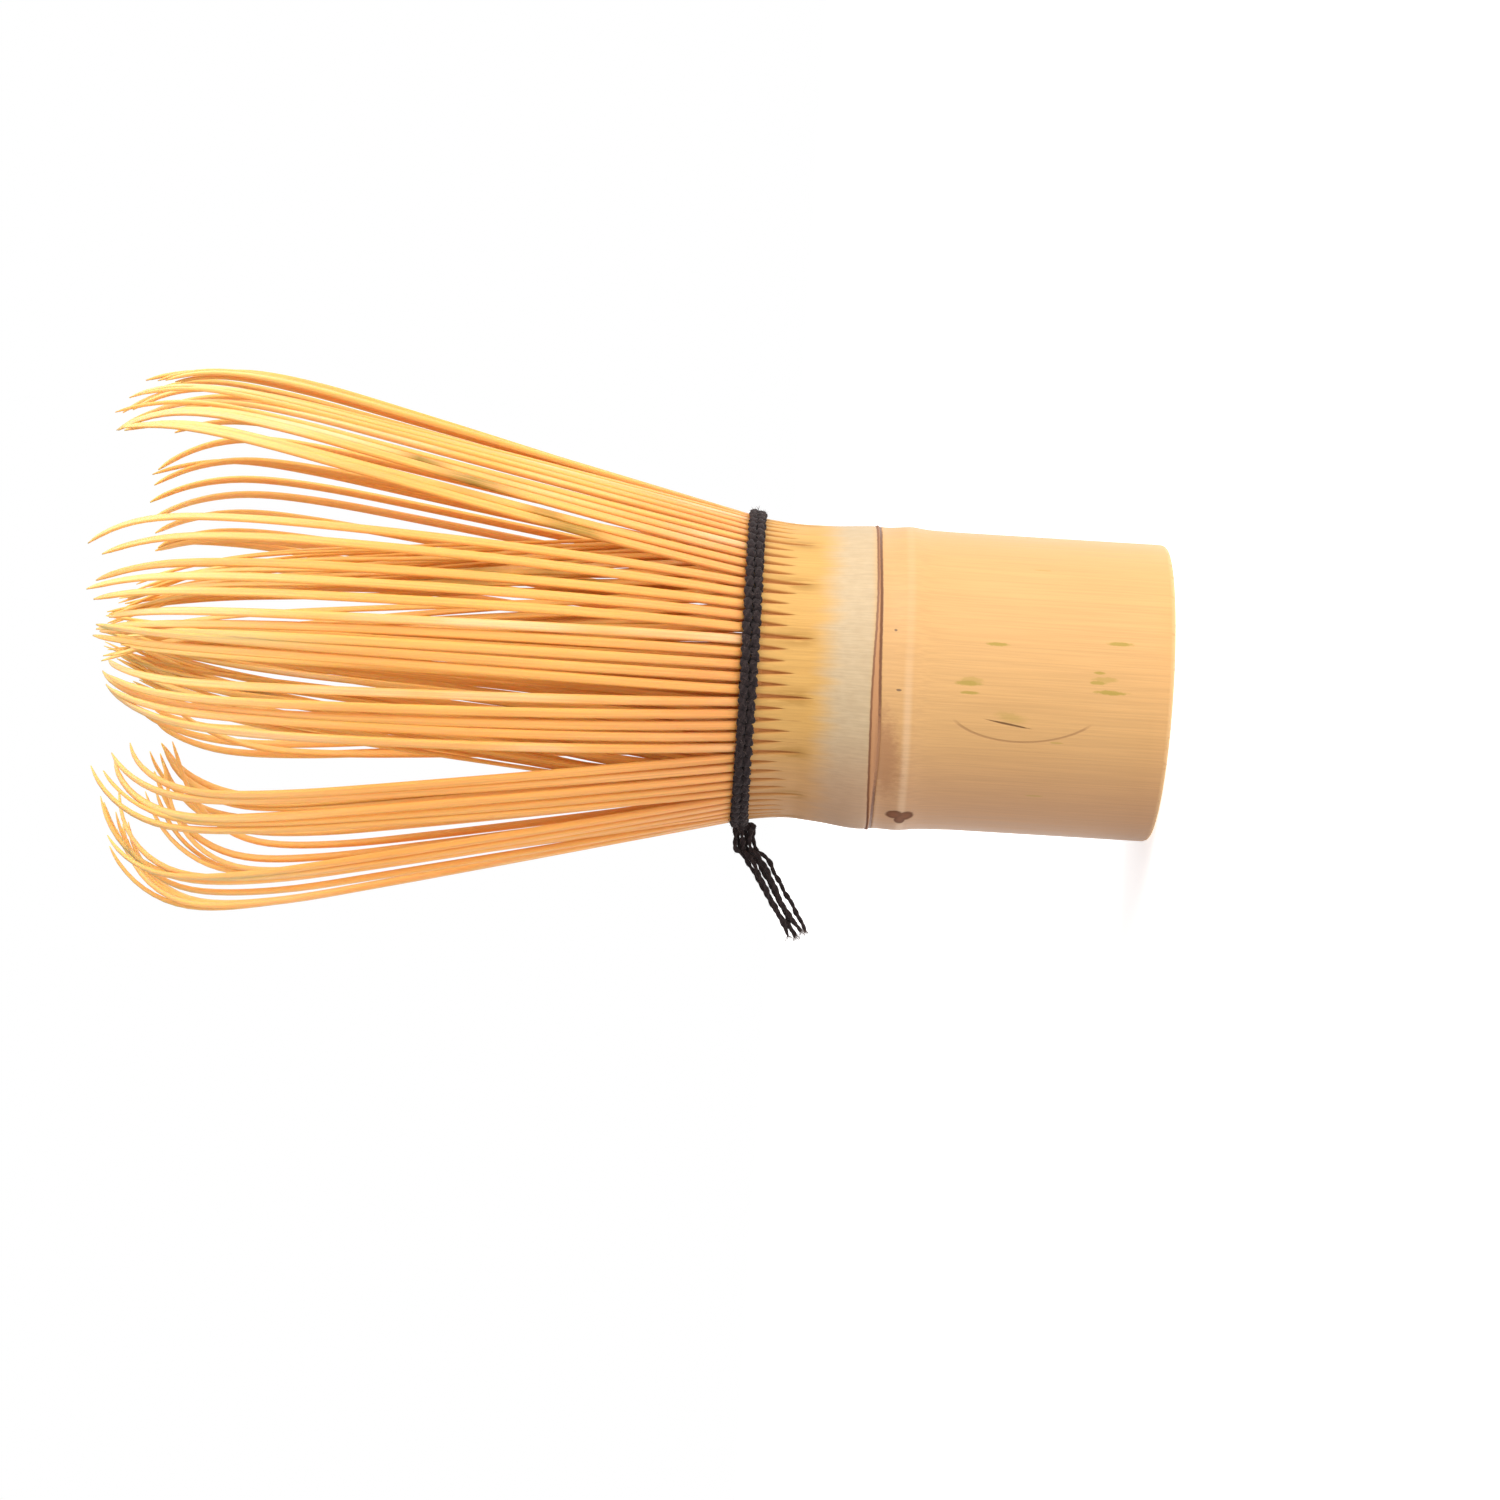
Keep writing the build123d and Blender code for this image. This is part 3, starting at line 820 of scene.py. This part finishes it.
def add_tine(skin, azimuth, line, length, sideways, widths, depths, twist, tone):
    """One tine with its own line, its sideways drift, and its widths and depths."""
    along, radius, height, turned = line
    stations = np.concatenate(
        [np.linspace(0, 0.7, 25)[:-1], np.linspace(0.7, 0.97, 16)[:-1], np.linspace(0.97, 1.0, 5)]
    )
    at = stations * length
    r = np.interp(at, along, radius)
    z = np.interp(at, along, height)
    angle = np.interp(at, along, turned)
    drift = sideways(at)
    radial = np.array([math.cos(azimuth), math.sin(azimuth), 0.0])
    tangent = np.array([-math.sin(azimuth), math.cos(azimuth), 0.0])
    centre = r[:, None] * radial + drift[:, None] * tangent
    centre[:, 2] += z
    outward = np.cos(angle)[:, None] * radial
    outward[:, 2] -= np.sin(angle)
    roll = np.radians(twist) * stations**1.5
    side = np.cos(roll)[:, None] * tangent + np.sin(roll)[:, None] * outward
    out = np.cos(roll)[:, None] * outward - np.sin(roll)[:, None] * tangent
    point_in = np.interp(stations, [0, 0.97, 0.985, 1.0], [1.0, 1.0, 0.8, 0.3])
    half_width = np.interp(stations, *widths) / 2 * point_in
    half_depth = np.interp(stations, *depths) / 2 * point_in
    wide, deep = half_width[:, None] * skin_across, half_depth[:, None] * skin_out
    around = np.degrees(np.arctan2(centre[:, 1], centre[:, 0])) % 360
    stain = np.zeros(len(stations))
    for stain_azimuth, stain_height, half_round, half_along in stains:
        across = np.radians(around - stain_azimuth) * r / half_round
        up_by = (centre[:, 2] - stain_height) / half_along
        stain = np.maximum(stain, np.clip(1.4 - 1.4 * np.hypot(across, up_by), 0, 1))
    skin.add_rings(
        rings_along(centre, side, out, wide, deep),
        along=at[:, None],
        across=skin_across[None, :],
        face=skin_out[None, :],
        tone=tone,
        stain=stain[:, None],
    )


def split_piece(skin, kind, split, finish, clump):
    """The finished tines of one split, inner or outer, riding on their clump."""
    return skin.piece(
        f"{kind}_split_{split:02d}",
        finish,
        f"{kind}_tine_bamboo",
        f"{kind}_clump_{clump:02d}",
        f"{kind}_tines_{split:02d}",
    )


print("tine helpers ready, with", len(stains), "stains")

# %% [markdown]
# The outer tines go straight out at the flare angle, and then turn more and more inward to a
# hooked tip. The five tines of a split lean together into a clump, and each clump sways its own
# way. The last touches are small random differences, which make it look hand-cut.

# %% Outer tines
# For each split, its sway, gather, splay and reach. sway is the clump's drift towards larger
# azimuths, in millimetres, where the tines are widest apart. gather is how far the clump closes
# up, from 0 to 1. splay is added to the flare, and reach to the length.
clump_shapes = {
    1: (0.1, 0.5, 0, -2.6), 2: (-1.4, 0.2, 0, -0.4),
    3: (-0.2, 0.15, 0, 2.0), 4: (-1.0, 0.3, 0, 1.0),
    5: (0, 0.5, 0, 0), 6: (0.2, 0.5, 0, 0),
    7: (-1.2, 0.5, 0, -0.4), 8: (-2.6, 0.45, 0, 0),
    9: (0, 0.45, -0.2, 0.9), 10: (1.2, 0.45, 0, 0.6),
    11: (1.4, 0.45, -0.2, 0), 12: (2.3, 0.5, -0.3, 0),
    13: (0, 0.57, 0, 0), 14: (-2.9, 0.05, -0.2, 0),
    15: (2.2, 0.35, 0, 0.4), 16: (-0.6, 0.5, 0, 0.4),
}
flare = 13.4
wide_at = 45.5
gap_at_wide = 2.04
outer_root_radius = 15.2
outer_length = 65.0
outer_widths = ([0, 0.3, 0.7, 0.88, 1.0], [0.88, 0.9, 0.84, 0.72, 0.46])
rng = np.random.default_rng(23)
for split, (sway, gather, splay, reach) in clump_shapes.items():
    middle = (split - 1) * tines_per_split * tine_angle
    curl = 60 - 16 * math.cos(middle)
    side_on = math.cos(middle) ** 4
    usual_length = outer_length + 1.6 * math.sin(middle) - 1.2 * math.cos(middle) + reach
    skin = Skin()
    for step in (-2, -1, 0, 1, 2):
        azimuth = middle + step * tine_angle
        own = rng.normal(0, 1, 8)
        tilt = flare - 0.6 * math.cos(middle) + splay + (0.42 + 0.16 * side_on) * own[0]
        shift = 1.2 * own[1] - 1.1 * (1 - math.cos(middle))
        own_curl = curl + 7 * own[2]
        bends = [
            (0, tilt),
            (43.4 + shift, tilt - 0.6),
            (52.0 + shift, 7.5 + 0.8 * own[3]),
            (55.6 + shift, -1),
            (60.5 + shift, -1 - 0.42 * own_curl),
            (67.5 + shift, -1 - own_curl),
        ]
        line = bent_line(outer_root_radius, bends)
        length = usual_length + 0.9 * own[4]
        close_up = 0.22 * own[5] - step * gather * gap_at_wide
        bow = 0.35 * own[6]

        def sideways(at, sway=sway, close_up=close_up, bow=bow):
            share = at / wide_at
            return sway * share**1.6 + close_up * share**1.25 + bow * share**2 * (share - 0.8)

        depths = ([0, 0.5, 0.8, 1.0], [0.52, 0.48 + 0.16 * side_on, 0.42 + 0.1 * side_on, 0.32])
        twist, tone = 16 * own[7], float(rng.random())
        add_tine(skin, azimuth, line, length, sideways, outer_widths, depths, twist, tone)
    made = split_piece(skin, "outer", split, outer_finish, split)
print(len(clump_shapes), "outer splits, each of", len(made.data.vertices), "points")

# %% [markdown]
# The inner tines are finer and lean towards the axis. They would meet in a point, but their
# ends curve and rest against each other, so they make a loose bundle that is longer in the
# middle. The same strip is used, with its own bends, in three layers so that neighbours pass
# each other.

# %% Inner tines
# Each layer's distance from the axis where it is widest and at the tips, and how far its tips
# are below the top.
layers = ((6.4, 1.0, 0.15), (8.1, 2.6, 1.6), (9.7, 4.4, 3.2))
inner_sways = (0.2, 0.1, -0.6, 1.8, 0.1, -0.2, 0.2, 0.1, -0.1, 0.2, -0.3, 0.2, 0.2, -2.2, 0.6, 0.1)
inner_root_radius = 13.45
inner_widths = ([0, 0.25, 0.5, 0.85, 1.0], [0.84, 0.72, 0.62, 0.5, 0.34])
inner_depths = ([0, 0.5, 1.0], [0.36, 0.3, 0.22])
rng = np.random.default_rng(37)
for split in range(1, split_count + 1):
    skin = Skin()
    for step in range(tines_per_split):
        place_round = (split - 1) * tines_per_split + step
        layer_wide, layer_tip, layer_drop = layers[place_round % len(layers)]
        azimuth = (place_round - 1.5) * tine_angle
        own = rng.normal(0, 1, 7)
        wide = layer_wide + 0.45 * own[0]
        tip = max(0.5, layer_tip + 0.45 * own[1])
        rise = tips_top - layer_drop - abs(0.4 * own[2]) - root_height
        lean_in = math.degrees(math.atan2(inner_root_radius - wide, wide_at))
        lean_end = math.degrees(math.atan2(wide - tip, rise - wide_at))
        swing_in = lean_end / 18
        bends = [
            (0, -lean_in),
            (42, -lean_in - 0.5),
            (50, -10 * swing_in),
            (56, -17 * swing_in),
            (63, -27 * swing_in - 2 * own[3]),
        ]
        line = bent_line(inner_root_radius, bends)
        length = float(np.interp(root_height + rise, line[2], line[0]))
        lean = inner_sways[split - 1] - (step - 2) * 0.24 + 0.16 * own[4]
        bow = 0.4 * own[5]

        def sideways(at, lean=lean, bow=bow):
            share = at / wide_at
            return lean * share**1.2 + bow * share * (share - 0.9)

        twist, tone = 25 * own[6], float(rng.random())
        add_tine(skin, azimuth, line, length, sideways, inner_widths, inner_depths, twist, tone)
    made = split_piece(skin, "inner", split, inner_finish, (split + 1) // 2)
print(split_count, "inner splits, each of", len(made.data.vertices), "points")

# %% [markdown]
# The thread is spun cotton, nearly black. Its colour is not even: a painted highlight runs
# along the crest of each turn of the yarn, where the spun fibres would catch light, and the
# loose fibres that stand off it are painted lighter too. A rough finish with a soft sheen is
# how cotton differs from plastic cord.

# %% Thread finish
thread_finish, tree, shader, place = start_material("binding_thread_cotton")
fibre = grain_noise(tree, place, 9.0, 9.0, 3.0)
clot = grain_noise(tree, place, 1.4, 1.4, 2.0, 4.0)
lit = point_value(tree, "lit")
deep_black, worn_black = (0.009, 0.0058, 0.0065, 1), (0.028, 0.017, 0.017, 1)
colour = mixed(tree, ramp(tree, fibre, 0.35, 0.7), deep_black, worn_black)
clotted = ramp(tree, clot, 0.5, 0.75)
colour = tinted(tree, colour, (0.024, 0.015, 0.017, 1), clotted, 0.4)
# Painted highlights on the ply crests and loose fibres.
colour = mixed(tree, lit, colour, (0.2, 0.145, 0.13, 1))
tree.links.new(colour, shader.inputs["Base Color"])
shader.inputs["Roughness"].default_value = 0.85
shader.inputs["Specular IOR Level"].default_value = 0.2
shader.inputs["Sheen Weight"].default_value = 0.06
shader.inputs["Sheen Roughness"].default_value = 0.5
finish_bump(tree, shader, fibre, 0.5, 0.00004)
print("thread finish ready")

# %% [markdown]
# Yarn is twisted from plies, which shows as lobes that turn along the strand. Loose fibres
# stand off it: each is a hair with three sides that tapers and droops a little. Both are rings
# along a path, so knot, rows and loose ends are all made by these few helpers.

# %% Yarn
skein = random.Random(5)


def heading_along(path, closed=False):
    """Unit vectors along a path."""
    ahead = np.roll(path, -1, axis=0) - np.roll(path, 1, axis=0)
    if not closed:
        ahead[0] = path[1] - path[0]
        ahead[-1] = path[-1] - path[-2]
    ahead /= np.linalg.norm(ahead, axis=1)[:, None]
    return ahead


def run_along(path):
    """How far along the path each of its points is."""
    return np.concatenate([[0], np.cumsum(np.linalg.norm(np.diff(path, axis=0), axis=1))])


def add_yarn(skin, path, across, radius, plies, turn_length, sides=12, closed=False, flat=1.0):
    """A yarn of twisted plies along a path. across gives the direction of its first side."""
    ahead = heading_along(path, closed)
    first = across - (across * ahead).sum(1)[:, None] * ahead
    first /= np.linalg.norm(first, axis=1)[:, None]
    second = np.cross(ahead, first)
    around = np.linspace(0, 2 * np.pi, sides, endpoint=False)
    turned = 2 * np.pi * run_along(path)[:, None] / turn_length
    lobes = 1 + 0.2 * np.cos(plies * around[None, :] - turned)
    size = np.broadcast_to(radius, (len(path),))[:, None] * lobes
    rings = rings_along(path, first, second, size * np.cos(around) * flat, size * np.sin(around))
    # The crests of the plies get a painted highlight.
    skin.add_rings(rings, loop=closed, lit=np.clip((lobes - 1.12) * 1.2, 0, 0.1))


def add_fibre(skin, start, direction, length, thickness, droop):
    """One loose fibre: a fine curved hair."""
    shares = np.array([0.0, 0.35, 0.7, 1.0])[:, None]
    path = start + direction * length * shares + droop * shares**2
    ahead = heading_along(path)
    any_other_way = np.array([0.31, 0.87, 0.39])
    first = np.cross(ahead, any_other_way)
    first /= np.linalg.norm(first, axis=1)[:, None]
    second = np.cross(ahead, first)
    around = np.linspace(0, 2 * np.pi, 3, endpoint=False)
    size = thickness * np.array([1.0, 0.9, 0.7, 0.35])[:, None]
    rings = rings_along(path, first, second, size * np.cos(around), size * np.sin(around))
    skin.add_rings(rings, lit=skein.uniform(0.2, 0.9))


def loose_direction(outward):
    """A random direction on the outer side of a thread."""
    spin = np.array([skein.gauss(0, 1) for _ in range(3)])
    chosen = spin / np.linalg.norm(spin) + 0.9 * outward
    return chosen / np.linalg.norm(chosen)


print("yarn helpers ready")

# %% [markdown]
# Two strands make each row of the binding. They twine: one passes outside a tine while the
# other passes inside it, and in the next slit they cross. So a strand's radius swings out and
# in once every two tines, and the two strands are half a swing apart. The rows are pressed
# together, and rise and fall slightly round the whisk.

# %% Twined rows
inner_strand_radius = 14.46
strand_radius = 0.38
strand_flat = 0.66
fibres_per_strand = 700
pressed = 0.15


def row_strand(row_height, outside, inside, phase):
    """The closed path of one twining strand."""
    turns = np.linspace(0, 2 * np.pi, 1600, endpoint=False)
    swing = np.cos(tine_count / 2 * turns + phase)
    swing = np.clip(swing * 2.2, -1, 1) * 0.8 + swing * 0.2
    radius = (outside + inside) / 2 + (outside - inside) / 2 * swing
    height = row_height + 0.09 * np.sin(tine_count / 2 * turns + phase)
    height += 0.06 * np.sin(3 * turns + row_height) + 0.03 * np.sin(11 * turns + phase)
    return np.stack([radius * np.cos(turns), radius * np.sin(turns), height], axis=1), turns


rows = (
    ("binding_row_lower", "thread_row_lower", row_heights[0] + pressed, 15.74),
    ("binding_row_upper", "thread_row_upper", row_heights[1] - pressed, 15.88),
)
for name, node, row_height, outside in rows:
    skin = Skin()
    for phase in (0.4, 0.4 + math.pi):
        path, turns = row_strand(row_height, outside, inner_strand_radius, phase)
        radial = np.stack([np.cos(turns), np.sin(turns), np.zeros_like(turns)], axis=1)
        add_yarn(skin, path, radial, strand_radius, 3, 0.8, closed=True, flat=strand_flat)
        for _ in range(fibres_per_strand):
            at = skein.randrange(len(path))
            out = radial[at]
            if np.hypot(*path[at][:2]) < outside - 0.15:
                continue
            lift = np.array([0, 0, skein.uniform(-strand_radius, strand_radius)])
            start = path[at] + out * 0.22 + lift
            way, length = loose_direction(out * 0.6), skein.uniform(0.15, 0.6)
            add_fibre(skin, start, way, length, 0.014, -out * skein.uniform(0, 0.2))
    made = skin.piece(name, thread_finish, "binding_thread", "culm", node)
    print(name, len(made.data.vertices), "points")

# %% [markdown]
# The rows end in a small hard knot on the -X side. It is the same yarn going twice round a
# tight looped path, sunk a little into the rows so that no gap shows behind it.

# %% Knot
knot_low, knot_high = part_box("thread_knot")
knot_centre = np.array([in_mm((knot_low[i] + knot_high[i]) / 2) for i in range(3)])
knot_half = np.array([in_mm((knot_high[i] - knot_low[i]) / 2) for i in range(3)])
knot_sunk = 0.6
skin = Skin()
turns = np.linspace(0, 2 * np.pi, 220, endpoint=False)
loop_path = np.stack(
    [
        0.3 * knot_half[0] * np.sin(3 * turns) + knot_sunk,
        0.62 * knot_half[1] * (np.sin(turns) + 0.55 * np.sin(2 * turns)),
        0.45 * knot_half[2] * (np.cos(turns) - 0.5 * np.cos(2 * turns)),
    ],
    axis=1,
)
loop_path += knot_centre
away = np.tile(np.array([-1.0, 0.02, 0.03]), (len(turns), 1))
add_yarn(skin, loop_path, away, 0.3, 3, 1.0, closed=True)
second_loop = knot_centre + (loop_path - knot_centre) * np.array([1.0, -0.8, 0.85])
second_loop[:, 0] += 0.12
add_yarn(skin, second_loop, away, 0.28, 3, 0.9, closed=True)
out = np.array([-1.0, 0, 0])
for _ in range(90):
    start = loop_path[skein.randrange(len(loop_path))] + out * 0.2
    add_fibre(skin, start, loose_direction(out), skein.uniform(0.2, 0.7), 0.014, 0 * out)
knot = skin.piece("binding_knot", thread_finish, "binding_thread", "culm", "thread_knot")
print("knot:", len(knot.data.vertices), "points")

# %% [markdown]
# Six short ends of thread hang from the knot, two plies each, frayed where they were cut. They
# follow smooth curves through a few points, drawn first as plain curves without thickness, and
# a small wobble keeps them from looking combed. They start inside the knot.

# %% Loose ends
# Each end: where it leaves the knot's face, as y and z from its centre, then its further points.
tail_exit = 2.4
tail_start = 1.05
tail_radius = 0.215
end_routes = [
    ((-0.35, 0.95), (-2.6, 0.2, -0.9), (-5.6, 0.6, -2.9), (-8.4, 0.3, -4.6), (-10.6, 0.9, -6.8)),
    ((0.35, 0.62), (-2.5, 0.1, -1.4), (-5.3, 0.5, -3.4), (-8.2, 0.2, -5.0), (-10.3, 0.7, -7.0)),
    ((-0.35, 0.2), (-2.7, -0.4, -0.8), (-5.5, -0.8, -2.4), (-8.1, -0.4, -3.9), (-10.7, -0.9, -5.3)),
    ((0.35, -0.12), (-2.6, 0.5, -1.3), (-5.4, 0.9, -2.7), (-8.3, 0.6, -4.5), (-10.9, 1.1, -5.6)),
    ((-0.35, -0.55), (-2.5, -0.3, -0.9), (-5.2, -0.9, -2.6), (-7.9, -0.8, -3.8), (-10.0, -1.3, -5.7)),
    ((0.35, -0.9), (-2.6, -0.3, -1.4), (-5.4, 0.1, -2.9), (-8.0, -0.1, -4.7), (-10.2, 0.2, -5.9)),
]


def smooth_points(points):
    """Points along a smooth NURBS curve with these control points."""
    curve = bpy.data.curves.new("guide", "CURVE")
    curve.dimensions = "3D"
    curve.resolution_u = 16
    spline = curve.splines.new("NURBS")
    spline.points.add(len(points) - 1)
    for knot_point, point in zip(spline.points, points):
        knot_point.co = (*(value * MM for value in point), 1)
    spline.order_u = 3
    spline.use_endpoint_u = True
    guide = bpy.data.objects.new("guide", curve)
    bpy.context.scene.collection.objects.link(guide)
    bpy.context.view_layer.update()
    line = bpy.data.meshes.new_from_object(guide)
    found = np.array([vertex.co[:] for vertex in line.vertices]) / MM
    bpy.data.objects.remove(guide)
    bpy.data.curves.remove(curve)
    bpy.data.meshes.remove(line)
    return found


droop = np.array([-0.1, 0, -0.05])
for number, (foot, *further) in enumerate(end_routes, start=1):
    start = np.array([in_mm(knot_low.x) + tail_start, foot[0], row_heights[0] + foot[1]])
    route = [start, start + (-tail_exit, 0, 0)] + [start + point for point in further]
    path = smooth_points(route)
    run = run_along(path)
    even = np.linspace(0, run[-1], 150)
    path = np.stack([np.interp(even, run, path[:, axis]) for axis in range(3)], axis=1)
    path[:, 1] += 0.07 * np.sin(even * 2.1 + number)
    path[:, 2] += 0.05 * np.sin(even * 2.7 + 2 * number)
    skin = Skin()
    across = np.tile(np.array([0.1, 1.0, 0.15]), (len(path), 1))
    thinner = np.interp(even / run[-1], [0, 0.93, 1], [1, 1, 0.55])
    radius = tail_radius * (1 + 0.14 * np.sin(even * 3.3 + number)) * thinner
    add_yarn(skin, path, across, radius, 2, 0.95, sides=10)
    for _ in range(70):
        at = skein.randrange(4, len(path))
        out = loose_direction(np.zeros(3))
        add_fibre(skin, path[at] + out * 0.1, out, skein.uniform(0.12, 0.45), 0.013, droop)
    heading = path[-1] - path[-6]
    heading /= np.linalg.norm(heading)
    frayed = path[-1] - heading * 0.15
    for _ in range(16):
        way, length = loose_direction(heading * 1.4), skein.uniform(0.3, 0.95)
        add_fibre(skin, frayed, way, length, 0.022, droop)
    skin.piece(f"loose_end_{number}", thread_finish, "binding_thread", "culm", f"tail_strand_{number}")
    print("loose end", number, "length", round(float(run[-1]), 1), "mm")
